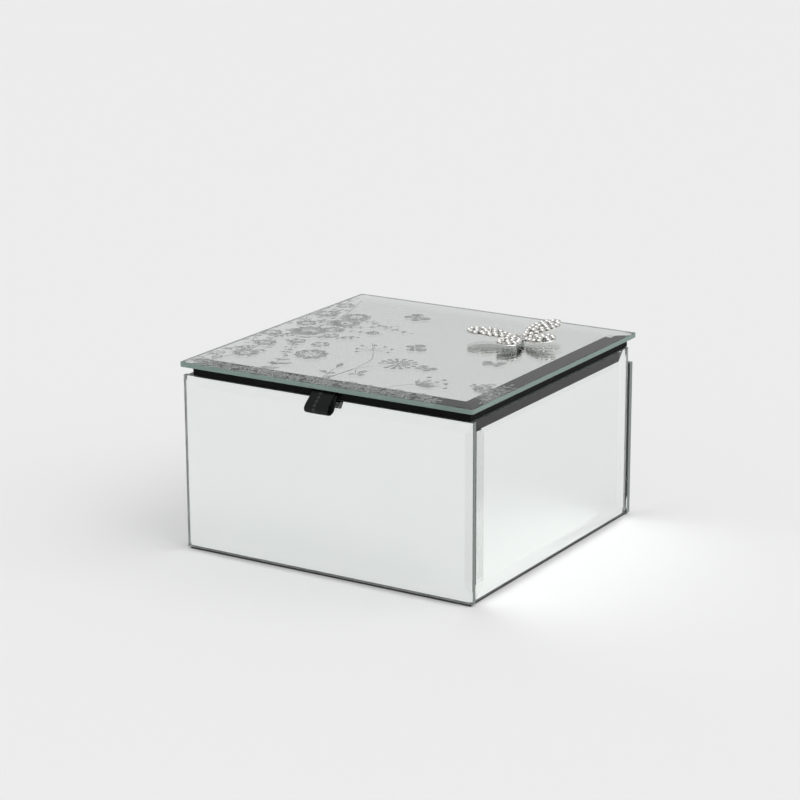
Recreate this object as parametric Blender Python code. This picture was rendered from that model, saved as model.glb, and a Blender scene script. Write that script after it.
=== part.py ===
"""Mirrored vanity trinket box: a bevelled glass case, a hinged glass lid, a ribbon pull tab and a butterfly.

Metres, +Z up. The origin is the middle of the face the box rests on. The front, with the pull tab, faces -Y."""

import math

import bmesh
import bpy
from mathutils import Matrix, Vector

# Driving dimensions of the case
WIDTH = 0.130
DEPTH = 0.130
CASE_TOP = 0.071
CLEARANCE = 0.0003
FELT_THICKNESS = 0.0005
BOARD_THICKNESS = 0.004
BASE_BOARD_THICKNESS = 0.003
LINING_THICKNESS = 0.001
LINING_DROP = 0.0005
PAD_THICKNESS = 0.004
PAD_EDGE_RADIUS = 0.0015
FELT_INSET = 0.001

# Mirrors: a flat face with a wide, shallow bevel that runs down to a thinner edge
MIRROR_THICKNESS = 0.003
MIRROR_EDGE = 0.0021
MIRROR_BEVEL = 0.0055
BACK_MIRROR_DROP = 0.0064
LID_GLASS_THICKNESS = 0.0026
LID_GLASS_EDGE = 0.002
LID_GLASS_BEVEL = 0.0065
LID_OVERHANG = 0.0005

# Lid board, set off-centre under the glass
LID_BOARD_THICKNESS = 0.0029
LID_BOARD_INSET_FRONT = 0.0014
LID_BOARD_INSET_BACK = 0.0035
LID_BOARD_INSET_LEFT = 0.0044
LID_BOARD_INSET_RIGHT = 0.0014
LID_LINING_THICKNESS = 0.0014
LID_LINING_GAP = 0.001

# Hinges: three knuckles each, in the recess above the shorter back mirror
HINGE_SPACING = 0.084
HINGE_WIDTH = 0.018
MIDDLE_KNUCKLE = 0.0058
KNUCKLE_RADIUS = 0.0016
KNUCKLE_BORE = 0.0009
PIN_RADIUS = 0.0006
LEAF_THICKNESS = 0.0005
LEAF_STEP = 0.0001
LEAF_GAP = 0.0002
CASE_LEAF_HEIGHT = 0.0059
LID_LEAF_DEPTH = 0.0085
LEAF_NOTCH = 0.00175
AXIS_Y = DEPTH / 2 - 0.00155
AXIS_Z = CASE_TOP + 0.00015
ROUND_SEGMENTS = 24

# Countersunk slotted screws
SCREW_SPACING = 0.012
CASE_SCREW_DROP = 0.0036
SCREW_HEAD_RADIUS = 0.0011
SCREW_HEAD_DEPTH = 0.0004
SCREW_SHANK_RADIUS = 0.0005
SCREW_CLEARANCE = 0.00025
SLOT_WIDTH = 0.0003
SLOT_DEPTH = 0.0002
CASE_SCREW_LENGTH = 0.0034
LID_SCREW_LENGTH = 0.0022

# Ribbon pull tab
TAB_WIDTH = 0.010
TAB_THICKNESS = 0.0004
TAB_SKEW = 0.0025
TAB_STEPS = 4
TAB_SLOT_DEPTH = 0.0016
TAB_SLOT_LENGTH = 0.0083

# Butterfly, which leans to its left on the lid
BUTTERFLY_AT = (0.0342, 0.0263)
BUTTERFLY_HEADING = 134
BUTTERFLY_HEIGHT = 0.0014
BODY_SIZE = (0.0125, 0.0026, 0.0024)
FOOT_RADIUS = 0.0018
WING_THICKNESS = 0.001
WING_POINTS = 18
FOREWING = {"length": 0.0224, "heading": 57, "spread": 29}
HINDWING = {"length": 0.0160, "heading": 137, "spread": 34}
WING_FULLNESS = 0.4
LEFT_LIFT = 2
RIGHT_LIFT = 9

# Heights and planes that follow from them
PANEL_BOTTOM = FELT_THICKNESS + CLEARANCE
BOARD_OUTER_X = WIDTH / 2 - MIRROR_THICKNESS - CLEARANCE
BOARD_OUTER_Y = DEPTH / 2 - MIRROR_THICKNESS - CLEARANCE
BASE_TOP = PANEL_BOTTOM + BASE_BOARD_THICKNESS
WALL_BOTTOM = BASE_TOP + CLEARANCE
LINING_OUTER_X = BOARD_OUTER_X - BOARD_THICKNESS - CLEARANCE
LINING_OUTER_Y = BOARD_OUTER_Y - BOARD_THICKNESS - CLEARANCE
INNER_X = LINING_OUTER_X - LINING_THICKNESS
INNER_Y = LINING_OUTER_Y - LINING_THICKNESS
LID_BOARD_BOTTOM = CASE_TOP + CLEARANCE
LID_BOARD_TOP = LID_BOARD_BOTTOM + LID_BOARD_THICKNESS
LID_GLASS_BOTTOM = LID_BOARD_TOP + CLEARANCE
LID_GLASS_TOP = LID_GLASS_BOTTOM + LID_GLASS_THICKNESS
BACK_MIRROR_TOP = CASE_TOP - BACK_MIRROR_DROP

# Colour, roughness and metallic value of each material
FINISHES = {
    "mirror_glass": ((0.78, 0.81, 0.80), 0.05, 1.0),
    "black_fabric": ((0.006, 0.007, 0.008), 0.75, 0.0),
    "black_velvet": ((0.008, 0.008, 0.009), 0.95, 0.0),
    "black_felt": ((0.010, 0.010, 0.011), 0.95, 0.0),
    "black_satin": ((0.008, 0.009, 0.010), 0.35, 0.0),
    "brass": ((0.70, 0.52, 0.24), 0.30, 1.0),
    "steel": ((0.62, 0.60, 0.56), 0.30, 1.0),
    "silver_plate": ((0.80, 0.80, 0.78), 0.18, 1.0),
}


def clear_scene():
    for item in list(bpy.data.objects):
        bpy.data.objects.remove(item)


def finish(name):
    """The named material, made on first use."""
    material = bpy.data.materials.get(name)
    if material is None:
        colour, roughness, metallic = FINISHES[name]
        material = bpy.data.materials.new(name)
        material.use_nodes = True
        shader = material.node_tree.nodes["Principled BSDF"]
        shader.inputs["Base Color"].default_value = (*colour, 1.0)
        shader.inputs["Roughness"].default_value = roughness
        shader.inputs["Metallic"].default_value = metallic
    return material


def new_object(name, bm, material, location, rotation=(0, 0, 0)):
    """An object from a bmesh, with its faces turned outward."""
    bmesh.ops.recalc_face_normals(bm, faces=bm.faces)
    mesh = bpy.data.meshes.new(name)
    bm.to_mesh(mesh)
    bm.free()
    item = bpy.data.objects.new(name, mesh)
    item.location = location
    item.rotation_euler = rotation
    item.data.materials.append(finish(material))
    bpy.context.scene.collection.objects.link(item)
    return item


def cuboid(size):
    """A bmesh cuboid about the origin."""
    bm = bmesh.new()
    bmesh.ops.create_cube(bm, size=1)
    bmesh.ops.scale(bm, vec=size, verts=bm.verts)
    return bm


def box(name, material, low, high):
    """A cuboid object between two corners, with its origin in its middle."""
    low, high = Vector(low), Vector(high)
    return new_object(name, cuboid(high - low), material, (low + high) / 2)


def mirror_panel(name, low, high, outward, edge, bevel):
    """A sheet of glass between two corners, bevelled round its outward face down to a thinner edge."""
    low, high, outward = Vector(low), Vector(high), Vector(outward)
    size = high - low
    drop = abs(size.dot(outward)) - edge
    slab = Vector(length - drop * abs(side) for length, side in zip(size, outward))
    bm = cuboid(slab)
    bmesh.ops.recalc_face_normals(bm, faces=bm.faces)
    face = max(bm.faces, key=lambda item: item.normal.dot(outward))
    bmesh.ops.inset_individual(bm, faces=[face], thickness=bevel, depth=drop)
    middle = (low + high) / 2 - outward * drop / 2
    return new_object(name, bm, "mirror_glass", middle)


def turned(profile, segments=ROUND_SEGMENTS):
    """A bmesh turned about Z from (radius, height) points that start and end on the axis, with flat ends."""
    bm = bmesh.new()
    points = [bm.verts.new((radius, 0, height)) for radius, height in profile]
    edges = [bm.edges.new(pair) for pair in zip(points, points[1:])]
    bmesh.ops.spin(
        bm, geom=points + edges, cent=(0, 0, 0), axis=(0, 0, 1), angle=math.tau, steps=segments, use_merge=True
    )
    bmesh.ops.remove_doubles(bm, verts=bm.verts, dist=1e-6)
    on_axis = [vert for vert in bm.verts if math.hypot(vert.co.x, vert.co.y) < 1e-6]
    bmesh.ops.dissolve_verts(bm, verts=on_axis)
    return bm


def rod(name, material, radius, length, location, rotation=(0, math.pi / 2, 0)):
    """A cylinder, along X unless turned otherwise."""
    half = length / 2
    return new_object(name, turned([(0, half), (radius, half), (radius, -half), (0, -half)]), material,
                      location, rotation)


def raise_sheet(bm, sheet, thickness):
    """Extrudes one face straight up into a solid."""
    raised = bmesh.ops.extrude_face_region(bm, geom=[sheet])["geom"]
    bmesh.ops.translate(bm, verts=[item for item in raised if isinstance(item, bmesh.types.BMVert)],
                        vec=(0, 0, thickness))


def as_guide(item):
    """Marks an object that only shapes another one."""
    item.hide_render = True
    item.display_type = "WIRE"
    return item


def combine(target, guide, operation):
    modifier = target.modifiers.new(guide.name, "BOOLEAN")
    modifier.operation = operation
    modifier.object = as_guide(guide)


def soften(item, radius, segments):
    modifier = item.modifiers.new("soft edges", "BEVEL")
    modifier.width = radius
    modifier.segments = segments


def hang_from(pivot, items):
    """Parents the items to an empty without moving them."""
    for item in items:
        item.location -= pivot.location
        item.parent = pivot


# --- case ---

def make_base():
    felt_x, felt_y = WIDTH / 2 - FELT_INSET, DEPTH / 2 - FELT_INSET
    box("base_felt", "black_felt", (-felt_x, -felt_y, 0), (felt_x, felt_y, FELT_THICKNESS))
    box("base_board", "black_fabric", (-BOARD_OUTER_X, -BOARD_OUTER_Y, PANEL_BOTTOM),
        (BOARD_OUTER_X, BOARD_OUTER_Y, BASE_TOP))


def make_walls():
    """Four fabric-wrapped boards on the base board; returns the back one, which takes the hinge screws."""
    inner_y = BOARD_OUTER_Y - BOARD_THICKNESS
    inner_x = BOARD_OUTER_X - BOARD_THICKNESS
    side_y = inner_y - CLEARANCE
    box("front_board", "black_fabric", (-BOARD_OUTER_X, -BOARD_OUTER_Y, WALL_BOTTOM),
        (BOARD_OUTER_X, -inner_y, CASE_TOP))
    box("left_board", "black_fabric", (-BOARD_OUTER_X, -side_y, WALL_BOTTOM), (-inner_x, side_y, CASE_TOP))
    box("right_board", "black_fabric", (inner_x, -side_y, WALL_BOTTOM), (BOARD_OUTER_X, side_y, CASE_TOP))
    return box("back_board", "black_fabric", (-BOARD_OUTER_X, inner_y, WALL_BOTTOM),
               (BOARD_OUTER_X, BOARD_OUTER_Y, CASE_TOP))


def make_mirrors():
    """The front and back mirrors cover the ends of the side ones."""
    x, y = WIDTH / 2, DEPTH / 2
    inner_x, inner_y = x - MIRROR_THICKNESS, y - MIRROR_THICKNESS
    side_y = inner_y - CLEARANCE
    shape = (MIRROR_EDGE, MIRROR_BEVEL)
    mirror_panel("front_mirror", (-x, -y, PANEL_BOTTOM), (x, -inner_y, CASE_TOP), (0, -1, 0), *shape)
    mirror_panel("back_mirror", (-x, inner_y, PANEL_BOTTOM), (x, y, BACK_MIRROR_TOP), (0, 1, 0), *shape)
    mirror_panel("left_mirror", (-x, -side_y, PANEL_BOTTOM), (-inner_x, side_y, CASE_TOP), (-1, 0, 0), *shape)
    mirror_panel("right_mirror", (inner_x, -side_y, PANEL_BOTTOM), (x, side_y, CASE_TOP), (1, 0, 0), *shape)


def make_linings():
    top = CASE_TOP - LINING_DROP
    side_y = INNER_Y - CLEARANCE
    box("front_lining", "black_velvet", (-LINING_OUTER_X, -LINING_OUTER_Y, WALL_BOTTOM),
        (LINING_OUTER_X, -INNER_Y, top))
    box("back_lining", "black_velvet", (-LINING_OUTER_X, INNER_Y, WALL_BOTTOM),
        (LINING_OUTER_X, LINING_OUTER_Y, top))
    box("left_lining", "black_velvet", (-LINING_OUTER_X, -side_y, WALL_BOTTOM), (-INNER_X, side_y, top))
    box("right_lining", "black_velvet", (INNER_X, -side_y, WALL_BOTTOM), (LINING_OUTER_X, side_y, top))
    pad_x, pad_y = INNER_X - CLEARANCE, INNER_Y - CLEARANCE
    pad = box("floor_pad", "black_velvet", (-pad_x, -pad_y, WALL_BOTTOM), (pad_x, pad_y, WALL_BOTTOM + PAD_THICKNESS))
    soften(pad, PAD_EDGE_RADIUS, 3)


# --- lid ---

def make_lid_glass():
    x, y = WIDTH / 2 + LID_OVERHANG, DEPTH / 2 + LID_OVERHANG
    return mirror_panel("lid_mirror", (-x, -y, LID_GLASS_BOTTOM), (x, y, LID_GLASS_TOP), (0, 0, 1),
                        LID_GLASS_EDGE, LID_GLASS_BEVEL)


def make_lid_board():
    """The board under the glass, with a slot in its front edge that takes both ends of the ribbon."""
    front = LID_BOARD_INSET_FRONT - DEPTH / 2
    board = box("lid_board", "black_fabric", (LID_BOARD_INSET_LEFT - WIDTH / 2, front, LID_BOARD_BOTTOM),
                (WIDTH / 2 - LID_BOARD_INSET_RIGHT, DEPTH / 2 - LID_BOARD_INSET_BACK, LID_BOARD_TOP))
    half = TAB_WIDTH / 2 + CLEARANCE
    slot = box("ribbon slot", "black_fabric", (-half, front - CLEARANCE, LID_BOARD_TOP - TAB_SLOT_DEPTH),
               (half + TAB_SKEW, front + TAB_SLOT_LENGTH, LID_BOARD_TOP + CLEARANCE))
    combine(board, slot, "DIFFERENCE")
    return board


def make_lid_lining():
    x, y = INNER_X - LID_LINING_GAP, INNER_Y - LID_LINING_GAP
    top = LID_BOARD_BOTTOM - CLEARANCE
    return box("lid_lining", "black_velvet", (-x, -y, top - LID_LINING_THICKNESS), (x, y, top))


def smooth_route(points, steps):
    """Points along a Catmull-Rom curve through the given ones."""
    ends = [2 * points[0] - points[1]] + points + [2 * points[-1] - points[-2]]
    route = []
    for before, start, stop, after in zip(ends, ends[1:], ends[2:], ends[3:]):
        for step in range(steps):
            t = step / steps
            route.append(0.5 * (2 * start + (stop - before) * t
                                + (2 * before - 5 * start + 4 * stop - after) * t ** 2
                                + (3 * start - before - 3 * stop + after) * t ** 3))
    return route + [points[-1]]


def make_pull_tab():
    """A ribbon that leaves the slot under the glass, loops down over the front and goes back in."""
    front = -DEPTH / 2
    slot_end = front + LID_BOARD_INSET_FRONT + TAB_SLOT_LENGTH - 2 * CLEARANCE
    upper = LID_BOARD_TOP - CLEARANCE
    lower = upper - TAB_THICKNESS - CLEARANCE
    hand_set = [
        (slot_end, upper), (front + 0.0025, upper), (front + 0.0002, upper - 0.0007),
        (front - 0.0014, CASE_TOP + 0.0002), (front - 0.0033, CASE_TOP - 0.0020),
        (front - 0.0040, CASE_TOP - 0.0036), (front - 0.0034, CASE_TOP - 0.0050),
        (front - 0.0022, CASE_TOP - 0.0055), (front - 0.0010, CASE_TOP - 0.0049),
        (front - 0.0006, CASE_TOP - 0.0035), (front - 0.0006, CASE_TOP - 0.0008),
        (front - 0.0001, CASE_TOP + 0.0011), (front + 0.0012, lower - 0.0001),
        (front + 0.0025, lower), (slot_end, lower),
    ]
    route = smooth_route([Vector((0, y, z)) for y, z in hand_set], TAB_STEPS)
    middle = Vector((0, front, CASE_TOP))
    bm = bmesh.new()
    rings = []
    for index, point in enumerate(route):
        ahead = route[min(index + 1, len(route) - 1)] - route[max(index - 1, 0)]
        normal = Vector((0, -ahead.z, ahead.y)).normalized() * TAB_THICKNESS / 2
        shift = TAB_SKEW * index / (len(route) - 1)
        corners = [(side, face) for side, face in ((-1, -1), (1, -1), (1, 1), (-1, 1))]
        rings.append([
            bm.verts.new(point - middle + Vector((side * TAB_WIDTH / 2 + shift, 0, 0)) + face * normal)
            for side, face in corners
        ])
    for ring, following in zip(rings, rings[1:]):
        for corner in range(4):
            bm.faces.new((ring[corner], ring[corner - 1], following[corner - 1], following[corner]))
    bm.faces.new(rings[0])
    bm.faces.new(rings[-1])
    return new_object("pull_tab", bm, "black_satin", middle)


# --- butterfly ---

def wing(shape, side, lift):
    """One wing: a fan with a rounded tip, turned to its heading from the head and lifted along the body."""
    bm = bmesh.new()
    corners = [bm.verts.new((0, 0, -WING_THICKNESS / 2))]
    for index in range(1, WING_POINTS):
        share = 2 * index / WING_POINTS - 1
        radius = shape["length"] * math.cos(share * math.pi / 2) ** WING_FULLNESS
        angle = math.radians(side * (shape["heading"] + share * shape["spread"]))
        corners.append(bm.verts.new((radius * math.cos(angle), radius * math.sin(angle), -WING_THICKNESS / 2)))
    raise_sheet(bm, bm.faces.new(corners), WING_THICKNESS)
    bmesh.ops.rotate(bm, verts=bm.verts, matrix=Matrix.Rotation(math.radians(side * lift), 3, "X"))
    return bm


def make_butterfly():
    """Body, foot and four wings in one casting; local X runs towards the head."""
    place = (*BUTTERFLY_AT, LID_GLASS_TOP + BUTTERFLY_HEIGHT)
    turn = (0, 0, math.radians(BUTTERFLY_HEADING))
    bm = bmesh.new()
    bmesh.ops.create_uvsphere(bm, u_segments=16, v_segments=10, radius=0.5)
    bmesh.ops.scale(bm, vec=BODY_SIZE, verts=bm.verts)
    body = new_object("butterfly", bm, "silver_plate", place, turn)
    for label, shape in (("forewing", FOREWING), ("hindwing", HINDWING)):
        for side, lift in ((1, LEFT_LIFT), (-1, RIGHT_LIFT)):
            name = f"{label} guide {side}"
            combine(body, new_object(name, wing(shape, side, lift), "silver_plate", place, turn), "UNION")
    foot_height = BUTTERFLY_HEIGHT - CLEARANCE
    foot = rod("foot guide", "silver_plate", FOOT_RADIUS, foot_height,
               (place[0], place[1], LID_GLASS_TOP + CLEARANCE + foot_height / 2), (0, 0, 0))
    combine(body, foot, "UNION")
    return body


# --- hinges ---

def screw_body(length, clearance=0.0):
    """Countersunk head and shank along -Z from the origin, grown by the clearance for a hole."""
    head = SCREW_HEAD_RADIUS + clearance
    shank = SCREW_SHANK_RADIUS + clearance
    top = clearance
    return turned([(0, top), (head, top), (head, 0), (shank, -SCREW_HEAD_DEPTH), (shank, -length - clearance),
                   (0, -length - clearance)], 16)


def screw(name, length, location, rotation):
    item = new_object(name, screw_body(length), "steel", location, rotation)
    slot = new_object(name + " slot guide", cuboid((4 * SCREW_HEAD_RADIUS, SLOT_WIDTH, 2 * SLOT_DEPTH)), "steel",
                      location, rotation)
    combine(item, slot, "DIFFERENCE")
    return item


def cut_screw_hole(targets, name, length, location, rotation):
    for target in targets:
        guide = new_object(f"{name} hole guide {target.name}", screw_body(length, SCREW_CLEARANCE), "steel",
                           location, rotation)
        combine(target, guide, "DIFFERENCE")


def add_knuckles(leaf, middle_x, spans):
    """Barrels on the hinge axis over each (start, end) span, with the bore of the pin through them."""
    for start, end in spans:
        guide = rod(f"{leaf.name} knuckle guide {start:.4f}", "brass", KNUCKLE_RADIUS, end - start,
                    (middle_x + (start + end) / 2, AXIS_Y, AXIS_Z))
        combine(leaf, guide, "UNION")
    bore = rod(f"{leaf.name} bore guide", "brass", KNUCKLE_BORE, HINGE_WIDTH + 2 * CLEARANCE,
               (middle_x, AXIS_Y, AXIS_Z))
    combine(leaf, bore, "DIFFERENCE")


def leaf_plate(name, half, depth, tongue, reach, location, rotation=(0, 0, 0)):
    """A plate of the given depth along Y whose middle stretch reaches further, or less far, than its ends."""
    outline = [(-half, -depth), (half, -depth), (half, 0), (tongue, 0), (tongue, reach), (-tongue, reach),
               (-tongue, 0), (-half, 0)]
    bm = bmesh.new()
    sheet = bm.faces.new([bm.verts.new((x, y, -LEAF_THICKNESS / 2)) for x, y in outline])
    raise_sheet(bm, sheet, LEAF_THICKNESS)
    return new_object(name, bm, "brass", location, rotation)


def make_case_leaf(name, x, back_board):
    """The leaf on the outer face of the back board, with the two outer knuckles."""
    half, gap = HINGE_WIDTH / 2, MIDDLE_KNUCKLE / 2 + CLEARANCE
    middle_y = BOARD_OUTER_Y + LEAF_GAP + LEAF_THICKNESS / 2
    leaf = leaf_plate(f"{name}_case_leaf", half - LEAF_STEP, CASE_LEAF_HEIGHT, gap + LEAF_STEP, -LEAF_NOTCH,
                      (x, middle_y, AXIS_Z), (math.pi / 2, 0, 0))
    add_knuckles(leaf, x, ((-half, -gap), (gap, half)))
    facing_back = (-math.pi / 2, 0, 0)
    for index, side in enumerate((-1, 1), start=1):
        place = (x + side * SCREW_SPACING / 2, middle_y + LEAF_THICKNESS / 2, AXIS_Z - CASE_SCREW_DROP)
        screw_name = f"{name}_case_screw_{index}"
        screw(screw_name, CASE_SCREW_LENGTH, place, facing_back)
        cut_screw_hole((leaf, back_board), screw_name, CASE_SCREW_LENGTH, place, facing_back)


def make_lid_leaf(name, x, lid_board):
    """The leaf let into the underside of the lid board, with the middle knuckle; returns it and its screws."""
    half, tongue = HINGE_WIDTH / 2, MIDDLE_KNUCKLE / 2
    edge = AXIS_Y - KNUCKLE_RADIUS - CLEARANCE
    inner = edge - LID_LEAF_DEPTH
    low, high = LID_BOARD_BOTTOM, LID_BOARD_BOTTOM + LEAF_THICKNESS
    reach = KNUCKLE_RADIUS - KNUCKLE_BORE
    leaf = leaf_plate(f"{name}_lid_leaf", half - LEAF_STEP, LID_LEAF_DEPTH, tongue - LEAF_STEP, reach,
                      (x, edge, (low + high) / 2))
    add_knuckles(leaf, x, ((-tongue, tongue),))
    pocket = box(f"{name} pocket guide", "black_fabric", (x - half - CLEARANCE, inner - CLEARANCE, low - CLEARANCE),
                 (x + half + CLEARANCE, DEPTH / 2, high + CLEARANCE))
    combine(lid_board, pocket, "DIFFERENCE")
    facing_down = (math.pi, 0, 0)
    moving = [leaf]
    for index, side in enumerate((-1, 1), start=1):
        place = (x + side * SCREW_SPACING / 2, (inner + edge) / 2, low)
        screw_name = f"{name}_lid_screw_{index}"
        moving.append(screw(screw_name, LID_SCREW_LENGTH, place, facing_down))
        cut_screw_hole((leaf, lid_board), screw_name, LID_SCREW_LENGTH, place, facing_down)
    return moving


def make_hinges(back_board, lid_board):
    """Two butt hinges on one axis; returns the pieces that turn with the lid."""
    moving = []
    for name, side in (("hinge_left", -1), ("hinge_right", 1)):
        x = side * HINGE_SPACING / 2
        make_case_leaf(name, x, back_board)
        moving += make_lid_leaf(name, x, lid_board)
        rod(f"{name}_pin", "steel", PIN_RADIUS, HINGE_WIDTH, (x, AXIS_Y, AXIS_Z))
    return moving


def make_lid_pivot():
    """An empty on the hinge axis, which carries everything that turns."""
    pivot = bpy.data.objects.new("lid_pivot", None)
    pivot.location = (0, AXIS_Y, AXIS_Z)
    bpy.context.scene.collection.objects.link(pivot)
    return pivot


def smooth_round_pieces():
    for item in bpy.data.objects:
        if item.type == "MESH" and not item.hide_render:
            item.data.shade_smooth()
            item.data.set_sharp_from_angle(angle=math.radians(30))


def main():
    clear_scene()
    make_base()
    back_board = make_walls()
    make_mirrors()
    make_linings()
    lid_board = make_lid_board()
    lid = [make_lid_glass(), lid_board, make_lid_lining(), make_pull_tab(), make_butterfly()]
    lid += make_hinges(back_board, lid_board)
    hang_from(make_lid_pivot(), lid)
    smooth_round_pieces()


main()
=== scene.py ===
"""Looks of the mirrored trinket box: bevelled, silvered glass with ground edges, a glitter print of flowers,
a butterfly set with paste stones, cloth-wrapped boards, a satin pull tab, velvet linings and brass hinges."""

import math
import random

import bmesh
import bpy
from mathutils import Matrix, Vector


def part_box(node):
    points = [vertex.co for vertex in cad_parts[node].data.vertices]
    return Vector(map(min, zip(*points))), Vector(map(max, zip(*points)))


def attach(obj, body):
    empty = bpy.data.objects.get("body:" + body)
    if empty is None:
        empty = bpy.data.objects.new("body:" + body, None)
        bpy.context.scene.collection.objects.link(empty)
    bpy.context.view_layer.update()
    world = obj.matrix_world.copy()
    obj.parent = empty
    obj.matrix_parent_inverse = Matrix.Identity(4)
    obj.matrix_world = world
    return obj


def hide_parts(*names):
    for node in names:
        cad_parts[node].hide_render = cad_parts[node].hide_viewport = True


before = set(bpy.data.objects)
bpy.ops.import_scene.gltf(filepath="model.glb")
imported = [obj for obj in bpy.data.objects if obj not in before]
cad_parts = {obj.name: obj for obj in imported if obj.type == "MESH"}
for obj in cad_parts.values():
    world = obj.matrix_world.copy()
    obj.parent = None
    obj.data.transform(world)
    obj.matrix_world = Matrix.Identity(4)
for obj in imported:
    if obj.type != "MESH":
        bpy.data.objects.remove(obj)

MM = 0.001
UP = Vector((0, 0, 1))
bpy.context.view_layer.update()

# Camera, in metres and radians, with its lens in millimetres
CAMERA_PLACE = Vector((0.50876, -0.83119, 0.33226))
CAMERA_YAW = 0.55442
CAMERA_PITCH = 0.27755
CAMERA_ROLL = -0.00392
CAMERA_LENS = 114.74

# Studio: how bright the backdrop is at the horizon and above it, over what rise it changes, and two large
# far-off soft lights, each with its azimuth, elevation and width in degrees and its strength
HORIZON_LIGHT = 0.84
BACKDROP_LIGHT = 0.68
HORIZON_RISE = 0.12
FLOOR_COLOUR = (0.80, 0.80, 0.80)
FLOOR_RADIUS = 8.0
FLOOR_DROP = 0.05 * MM
KEY_LIGHT = (10, 46, 58, 0.74)
TOP_LIGHT = (-5, 78, 80, 0.65)

# Glass: the bevel and edge repeat the CAD model's
PANEL_EDGE, PANEL_BEVEL = 2.1 * MM, 5.5 * MM
LID_EDGE, LID_BEVEL = 2.0 * MM, 6.5 * MM
ARRIS = 0.10 * MM
CORNER_RADIUS = 0.12 * MM
LID_CORNER_RADIUS = 0.5 * MM
CORNER_STEPS = 4
PAINT_THICKNESS = 0.06 * MM
PAINT_GAP = 0.02 * MM

# Boards and linings: how far their wrapped edges are rounded
BOARD_ROUND = 0.35 * MM
LINING_ROUND = 0.25 * MM
METAL_ROUND = 0.06 * MM
WELD = 0.001 * MM
CLEARANCE = 0.3 * MM

# Glitter print: thin lacquer shapes in a few layers, and loose flakes, on the back of the glass under the
# silvering; the shift, in millimetres, allows for how far the glass displaces what is seen through it
PRINT_SHIFT = Vector((-1.12, 1.80))
PRINT_GAP = 0.010 * MM
PRINT_THICKNESS = 0.030 * MM
PRINT_LAYER, PRINT_LAYERS = 0.006 * MM, 5
FLAKE_SIZE = (0.06 * MM, 0.15 * MM)
FLAKE_THICKNESS = 0.015 * MM
FLAKE_TILT = 60
FLAKES_ON_PRINT = 800
FLAKES_ON_HEDGE = 650

# Where flakes lie thickest, from the middle of the lid: a strip over the front hedge, and a clump at right
HEDGE_ENDS = (-64.5 * MM, 50.0 * MM)
HEDGE_FRONT, HEDGE_DEPTH = -64.5 * MM, 6.2 * MM
CLUMP_ENDS = (58.5 * MM, 65.5 * MM)
CLUMP_MIDDLE, CLUMP_SPREAD = -44.0 * MM, 7.0 * MM

# Butterfly: its plan repeats the CAD model's; stones stand in cups on cast plates
BUTTERFLY_AT = (0.0342, 0.0263)
BUTTERFLY_HEADING = 134
BUTTERFLY_HEIGHT = 0.8 * MM
BODY_SIZE = (12.5 * MM, 2.6 * MM, 2.2 * MM)
BODY_RISE = 0.3 * MM
FOOT_RADIUS = 1.8 * MM
FOOT_GAP = 0.03 * MM
FOREWING = {"length": 0.0224, "heading": 57, "spread": 29}
HINDWING = {"length": 0.0160, "heading": 137, "spread": 34}
WING_FULLNESS = 0.4
WING_STEP = 0.15 * MM
WING_DOME = 1.2 * MM
LEFT_LIFT = 3
RIGHT_LIFT = 7
PLATE_THICKNESS = 0.45 * MM
PLATE_FACE = 0.1
RIM_PROFILE = ((0.05, -0.5), (0.5, -0.5), (0.93, -0.5), (1.0, -0.25), (1.02, 0.15), (0.99, 0.45),
               (0.93, 0.35), (0.88, PLATE_FACE), (0.45, PLATE_FACE), (0.05, PLATE_FACE))
BODY_STONES = ((0.62, 0.80), (0.28, 0.95), (-0.07, 0.90), (-0.40, 0.75), (-0.68, 0.60))
STONE_RADIUS = 1.10 * MM
STONE_PITCH = 2.42 * MM
STONE_ROW = 0.9 * STONE_PITCH
STONE_EDGE = 0.95 * MM
STONE_GRID = 0.22 * MM
STONE_SEAT = 0.06 * MM
STONE_TILT = 7

# Cut of a stone, in shares of its radius
TABLE_SIZE, CULET_SIZE = 0.58, 0.08
PAVILION_DEPTH, GIRDLE_DEPTH, CROWN_DEPTH = 0.58, 0.06, 0.34
BEAD_SIZE = 0.17
BEAD_PROFILE = ((0.35, -0.94), (0.87, -0.5), (1.0, 0.0), (0.87, 0.5), (0.35, 0.94))

# Ribbon tab
TAB_WIDTH = 10.0 * MM
TAB_THICKNESS = 0.3 * MM
TAB_SPREAD = 0.05
TAB_COLUMNS = 25
TAB_ENDS_APART = 0.7 * MM
LOZENGE_PITCH, LOZENGE_ROW = 1.7, -0.9

# Velvet pads
PAD_GRID = 41
WELT_RADIUS = 0.13


# --- helpers for meshes ---

def add_object(name, data):
    item = bpy.data.objects.new(name, data)
    bpy.context.scene.collection.objects.link(item)
    return item


def mesh_object(name, bm, *looks, smooth=None):
    """An object from a bmesh in the row frame, smooth where faces meet at less than the given angle."""
    bmesh.ops.recalc_face_normals(bm, faces=bm.faces)
    mesh = bpy.data.meshes.new(name)
    bm.to_mesh(mesh)
    bm.free()
    for look in looks:
        mesh.materials.append(look)
    item = add_object(name, mesh)
    if smooth is not None:
        mesh.shade_smooth()
        mesh.set_sharp_from_angle(angle=math.radians(smooth))
    return item


def place(item, body, slot, *nodes):
    """Makes a piece ride on its body and stand for the CAD nodes; its slot is not used."""
    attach(item, body)
    if nodes:
        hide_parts(*nodes)
    return item


def join_rings(bm, rings, closed=True, capped=False):
    """Quads between rings of equal number, returned ring by ring; if capped, faces over both ends as well."""
    bands = []
    for ring, following in zip(rings, rings[1:]):
        count = len(ring)
        pairs = [(index, (index + 1) % count) for index in range(count if closed else count - 1)]
        bands.append([bm.faces.new((ring[a], ring[b], following[b], following[a])) for a, b in pairs])
    if capped:
        bands.append([bm.faces.new(rings[0][::-1]), bm.faces.new(rings[-1])])
    return bands


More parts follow.
